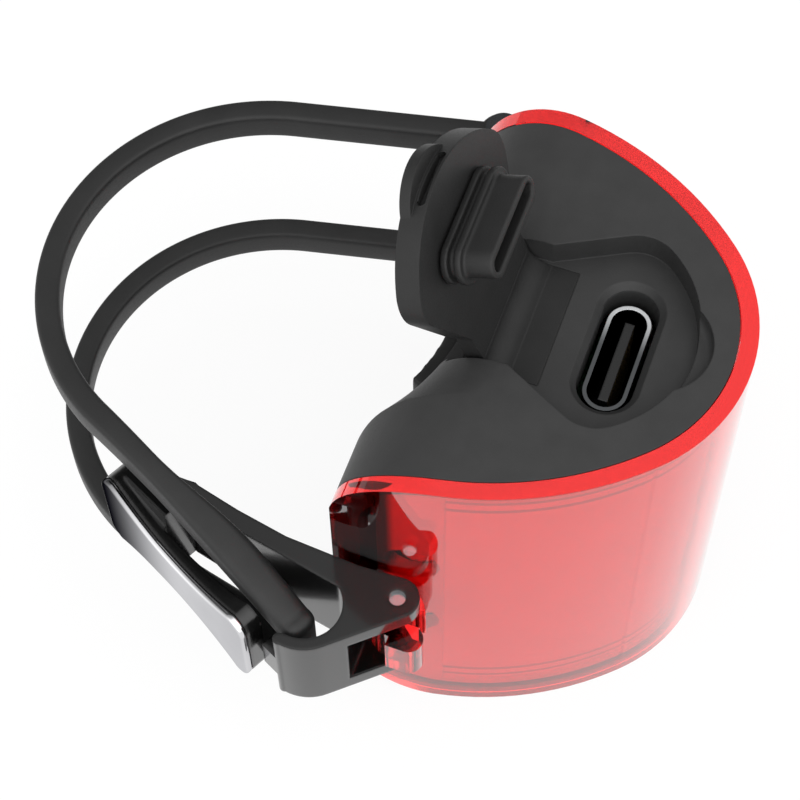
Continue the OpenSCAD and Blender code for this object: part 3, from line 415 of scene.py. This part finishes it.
def strap():
    """Two bands round the post, a plate and eyes at the fixed end and a bar at the loose end."""
    anchor = centre("anchor_pin")
    anchor.z = 0
    pin = centre("clasp_pin")
    grip = Vector((pin.x + GRIP_OUT, pin.y - GRIP_BACK, 0))
    band_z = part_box("strap_loop")[1].z - BAND_HEIGHT / 2
    mid = POST_RADIUS + BAND_THICK / 2
    leave = math.atan2(anchor.y, anchor.x) + math.acos(mid / anchor.length)
    if leave < 0:
        leave += 2 * math.pi
    run = math.sqrt(anchor.length ** 2 - mid ** 2)
    tail = math.atan2(grip.y, grip.x) - math.acos(POST_RADIUS / grip.length) + 2 * math.pi
    tail_run = math.sqrt(grip.length ** 2 - POST_RADIUS ** 2)
    to_anchor = Vector((math.sin(leave), -math.cos(leave), 0))
    to_clasp = Vector((-math.sin(tail), math.cos(tail), 0))
    end_z = (END_HEIGHT - BAND_HEIGHT) / 2

    stations = []
    for i in range(RUN_STEPS):
        place = polar(leave) * POST_RADIUS + to_anchor * run * (1 - i / RUN_STEPS)
        stations.append((place, polar(leave), BAND_THICK, 0.0, band_z, BAND_HEIGHT, BAND_POWER))
    for i in range(LOOP_STEPS + 1):
        a = leave + (tail - leave) * i / LOOP_STEPS
        stations.append((polar(a) * POST_RADIUS, polar(a), BAND_THICK, 0.0, band_z, BAND_HEIGHT, BAND_POWER))
    for i in range(1, TAIL_STEPS + 1):
        s = i / TAIL_STEPS
        z = band_z + (end_z - band_z) * s ** END_CURVE
        thick = TAIL_THICK + (BAND_THICK - TAIL_THICK) * max(0.0, 1 - 3 * s)
        swell = min(1.0, max(0.0, (s - SWELL_FROM) / SWELL_OVER))
        swell = END_SWELL * swell * swell * (3 - 2 * swell)
        place = polar(tail) * POST_RADIUS + to_clasp * (tail_run + END_PAST) * s
        power = BAND_POWER - (BAND_POWER - END_POWER) * max(0.0, 2 * s - 1)
        stations.append((place, polar(tail), thick, swell, z, BAND_HEIGHT, power))
    for i in range(1, CAP_STEPS):
        a = math.pi / 2 * i / CAP_STEPS
        shrink = math.cos(a)
        inset = (TAIL_THICK - END_SWELL) / 2 * (1 - shrink)
        place = polar(tail) * (POST_RADIUS + inset)
        place += to_clasp * (tail_run + END_PAST + END_HALF * math.sin(a))
        thick = TAIL_THICK * shrink
        swell = END_SWELL * shrink
        z = end_z - END_HALF * math.sin(a)
        stations.append((place, polar(tail), thick, swell, z, BAND_HEIGHT * shrink, END_POWER))

    bm = bmesh.new()
    for sign in (1, -1):
        rings = []
        for place, out, thick, swell, z, height, power in stations:
            rings.append([
                place + out * ((thick - swell) / 2 + u) + Vector((0, 0, sign * z + v))
                for u, v in rounded((thick + swell) / 2, height / 2, power=power)
            ])
        skin(bm, rings)
        eye_z = sign * band_z
        eye_low = eye_z - BAND_HEIGHT / 2
        eye_high = eye_z + BAND_HEIGHT / 2
        pillar(bm, anchor, to_anchor, EYE_RADIUS, EYE_RADIUS, eye_low, eye_high, EYE_POWER)
    plate = polar(leave) * mid + to_anchor * (run - PLATE_BACK - PLATE_RUN / 2)
    pillar(bm, plate, to_anchor, PLATE_RUN / 2, BAND_THICK / 2, -band_z, band_z)
    end = polar(tail) * (POST_RADIUS + (TAIL_THICK - END_SWELL) / 2) + to_clasp * (tail_run + END_PAST)
    half_across = (TAIL_THICK + END_SWELL) / 2
    pillar(
        bm, end, to_clasp, END_HALF, half_across, -END_HEIGHT / 2, END_HEIGHT / 2, END_POWER, END_SOFT
    )
    bmesh.ops.recalc_face_normals(bm, faces=bm.faces)
    obj = new_object("strap", bm, strap_black)
    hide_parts("strap_loop", "strap_tail")
    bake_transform(obj)


def bake(obj):
    """Keeps what the modifiers make as the piece's own mesh."""
    depsgraph = bpy.context.evaluated_depsgraph_get()
    mesh = bpy.data.meshes.new_from_object(obj.evaluated_get(depsgraph))
    obj.modifiers.clear()
    obj.data = mesh
    for face in mesh.polygons:
        face.use_smooth = True


def moulding(name, bm, material, voxel, rounds):
    """Fuses overlapping shells into one skin with the soft edges of moulded rubber."""
    obj = new_object(name, bm, material)
    fuse = obj.modifiers.new("fuse", "REMESH")
    fuse.mode = "VOXEL"
    fuse.voxel_size = voxel
    soften = obj.modifiers.new("soften", "SMOOTH")
    soften.factor = 0.5
    soften.iterations = rounds
    bake(obj)
    return obj


def cover():
    """Fixed tab, living hinge and flap as one moulding."""
    bm = bmesh.new()
    for name in ("port_cover", "port_cover_base"):
        bm.from_mesh(nodes[name].data)
    up = Vector((0, math.cos(FLAP_ANGLE), math.sin(FLAP_ANGLE)))
    inward = Vector((0, math.sin(FLAP_ANGLE), -math.cos(FLAP_ANGLE)))
    hinge = Vector((0, HINGE_Y, HINGE_Z))
    face = hinge + inward * FLAP_INNER
    corner = face - up * ((face.z - FLOOR_Z) / up.z)
    reach = BEND_RADIUS / math.tan(FLAP_ANGLE / 2)
    middle = corner + Vector((0, reach, BEND_RADIUS))
    profile = []
    for i in range(BEND_STEPS + 1):
        a = -math.pi / 2 - (math.pi - FLAP_ANGLE) * i / BEND_STEPS
        profile.append(middle + BEND_RADIUS * Vector((0, math.cos(a), math.sin(a))))
    profile.append(hinge)
    profile.append(Vector((0, HINGE_Y - BEND_BACK, FLOOR_Z - BEND_SINK)))
    profile.append(Vector((0, middle.y, FLOOR_Z - BEND_SINK)))
    rings = [[p + Vector((x, 0, 0)) for p in profile] for x in (-NECK_HALF, NECK_HALF)]
    skin(bm, rings)
    bmesh.ops.recalc_face_normals(bm, faces=bm.faces)
    bmesh.ops.remove_doubles(bm, verts=bm.verts, dist=WELD_DISTANCE)
    obj = new_object("port_cover_moulding", bm, cover_black)
    obj.data.set_sharp_from_angle(angle=SHARP_ANGLE)
    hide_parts("port_cover", "port_cover_base")
    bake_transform(obj)


def soft_copy(name, node, body, material, voxel, rounds):
    """A CAD rubber piece with its edges softened."""
    bm = bmesh.new()
    bm.from_mesh(nodes[node].data)
    obj = moulding(name, bm, material, voxel, rounds)
    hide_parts(node)
    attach(obj, body)


strap()
cover()
soft_copy("plug_moulding", "port_plug", "flap", cover_black, 0.09 * MM, 4)
soft_copy("saddle_moulding", "saddle_pad", "body", cover_black, 0.2 * MM, 6)
soft_copy("button_moulding", "power_button", "button", cover_black, 0.12 * MM, 5)

PAINT = {
    housing_black: ["housing"],
    lens_red: ["lens"],
    diffuser_white: ["diffuser"],
    frame_pale: ["diffuser_frame"],
    board_white: ["led_board"],
    led_yellow: ["main_led_1", "main_led_2", "main_led_3"],
    board_green: ["side_board_1", "side_board_2", "main_board", "switch_board"],
    dome_red: ["side_led_1", "side_led_2", "side_led_3", "side_led_4"],
    steel: ["board_screw_1", "board_screw_2", "clasp_pin"],
    shell_steel: ["usb_shell"],
    dark_steel: ["anchor_pin"],
    port_black: ["tact_switch"],
    tongue_black: ["usb_tongue"],
    wrap_blue: ["battery"],
    foam_grey: ["battery_foam"],
    clasp_black: ["clasp_frame"],
    chrome: ["badge_plate"],
}
for material, names in PAINT.items():
    for name in names:
        mesh = nodes[name].data
        mesh.materials.clear()
        mesh.materials.append(material)


def welded(node):
    """A rigid piece's object, with its split corners joined by a modifier."""
    obj = nodes[node]
    obj.modifiers.new("weld", "WELD").merge_threshold = WELD_DISTANCE
    return obj


def ease_edges(node, width):
    """Small moulded radius on the sharp edges of a rigid piece."""
    obj = welded(node)
    flat = obj.modifiers.new("flat", "DECIMATE")
    flat.decimate_type = "DISSOLVE"
    flat.angle_limit = math.radians(1)
    edge = obj.modifiers.new("edge", "BEVEL")
    edge.width = width
    edge.segments = 3
    edge.limit_method = "ANGLE"
    edge.angle_limit = math.radians(60)
    edge.use_clamp_overlap = False
    obj.modifiers.new("even", "WEIGHTED_NORMAL")


ease_edges("badge_plate", PLATE_EDGE)


def draw_in(node, gap):
    """Hair-thin clearance round a rigid piece, so that its facets don't cross its neighbour's."""
    obj = welded(node)
    seam = obj.modifiers.new("seam", "DISPLACE")
    seam.strength = -gap
    seam.mid_level = 0.0
    obj.modifiers.new("corners", "EDGE_SPLIT").split_angle = SHARP_ANGLE
    obj.modifiers.new("even", "WEIGHTED_NORMAL")


draw_in("housing", SEAM_GAP)

# Floor, light and camera

floor_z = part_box("housing")[0].z - FLOOR_GAP
floor_mesh = bpy.data.meshes.new("floor")
FLOOR_HALF = 3.0
corners = [(x * FLOOR_HALF, y * FLOOR_HALF, floor_z) for x, y in ((-1, -1), (1, -1), (1, 1), (-1, 1))]
floor_mesh.from_pydata(corners, [], [(0, 1, 2, 3)])
floor = bpy.data.objects.new("floor", floor_mesh)
collection.objects.link(floor)


def seen_directly(tree):
    """1 for rays that show the background itself: from the camera, a gloss or a clear piece."""
    path = tree.nodes.new("ShaderNodeLightPath")
    either = tree.nodes.new("ShaderNodeMath")
    either.operation = "MAXIMUM"
    both = tree.nodes.new("ShaderNodeMath")
    both.operation = "MAXIMUM"
    tree.links.new(path.outputs["Is Camera Ray"], either.inputs[0])
    tree.links.new(path.outputs["Is Glossy Ray"], either.inputs[1])
    tree.links.new(either.outputs[0], both.inputs[0])
    tree.links.new(path.outputs["Is Transmission Ray"], both.inputs[1])
    return both.outputs[0]


FLOOR_GLOW = 0.9
floor_mat, tree, bsdf = new_material("floor_white")
bsdf.inputs["Base Color"].default_value = (0.88, 0.88, 0.88, 1.0)
bsdf.inputs["Roughness"].default_value = 0.9
bsdf.inputs["Specular IOR Level"].default_value = 0.0
glow = add(tree, "ShaderNodeEmission", Strength=1.0)
part = tree.nodes.new("ShaderNodeMath")
part.operation = "MULTIPLY"
part.inputs[1].default_value = FLOOR_GLOW
tree.links.new(seen_directly(tree), part.inputs[0])
mix = tree.nodes.new("ShaderNodeMixShader")
tree.links.new(part.outputs[0], mix.inputs["Fac"])
tree.links.new(bsdf.outputs["BSDF"], mix.inputs[1])
tree.links.new(glow.outputs["Emission"], mix.inputs[2])
tree.links.new(mix.outputs["Shader"], tree.nodes["Material Output"].inputs["Surface"])
floor_mesh.materials.append(floor_mat)

SKY_LOW = 0.1
# Direction, strength and tightness of each soft light
LOBES = (
    (Vector((0.45, 0.62, 0.64)), 2.3, 3.0),
    (Vector((0.55, -0.82, 0.15)), 1.2, 4.0),
)
world = bpy.data.worlds.new("studio")
bpy.context.scene.world = world
world.use_nodes = True
tree = world.node_tree
background = tree.nodes["Background"]
background.inputs["Color"].default_value = (1.0, 1.0, 1.0, 1.0)
place = tree.nodes.new("ShaderNodeTexCoord")
level = None
for direction, strength, tightness in LOBES:
    toward = tree.nodes.new("ShaderNodeVectorMath")
    toward.operation = "DOT_PRODUCT"
    toward.inputs[1].default_value = direction.normalized()
    tree.links.new(place.outputs["Generated"], toward.inputs[0])
    facing = add(tree, "ShaderNodeMapRange", From_Min=-1.0, From_Max=1.0)
    tree.links.new(toward.outputs["Value"], facing.inputs["Value"])
    falloff = tree.nodes.new("ShaderNodeMath")
    falloff.operation = "POWER"
    falloff.inputs[1].default_value = tightness
    tree.links.new(facing.outputs["Result"], falloff.inputs[0])
    soft_light = tree.nodes.new("ShaderNodeMath")
    soft_light.operation = "MULTIPLY_ADD"
    soft_light.inputs[1].default_value = strength
    soft_light.inputs[2].default_value = SKY_LOW
    tree.links.new(falloff.outputs[0], soft_light.inputs[0])
    if level:
        tree.links.new(level, soft_light.inputs[2])
    level = soft_light.outputs[0]
tree.links.new(level, background.inputs["Strength"])

camera_data = bpy.data.cameras.new("camera")
camera = bpy.data.objects.new("camera", camera_data)
collection.objects.link(camera)
bpy.context.scene.camera = camera
CAMERA_PLACE = Vector((0.07965, 0.04135, 0.14718))
FORWARD = Vector((-0.4631, -0.1774, -0.8684)).normalized()
UP = Vector((-0.8183, -0.2907, 0.4958))
right = FORWARD.cross(UP).normalized()
up = right.cross(FORWARD)
turn = Matrix((right, up, -FORWARD)).transposed()
camera.matrix_world = Matrix.Translation(CAMERA_PLACE) @ turn.to_4x4()
camera_data.lens = 99.17
camera_data.sensor_width = 36.0
camera_data.clip_start = 0.001

bpy.context.scene.view_settings.view_transform = "Standard"
cycles = bpy.context.scene.cycles
cycles.max_bounces = 24
cycles.glossy_bounces = 20
cycles.transmission_bounces = 20
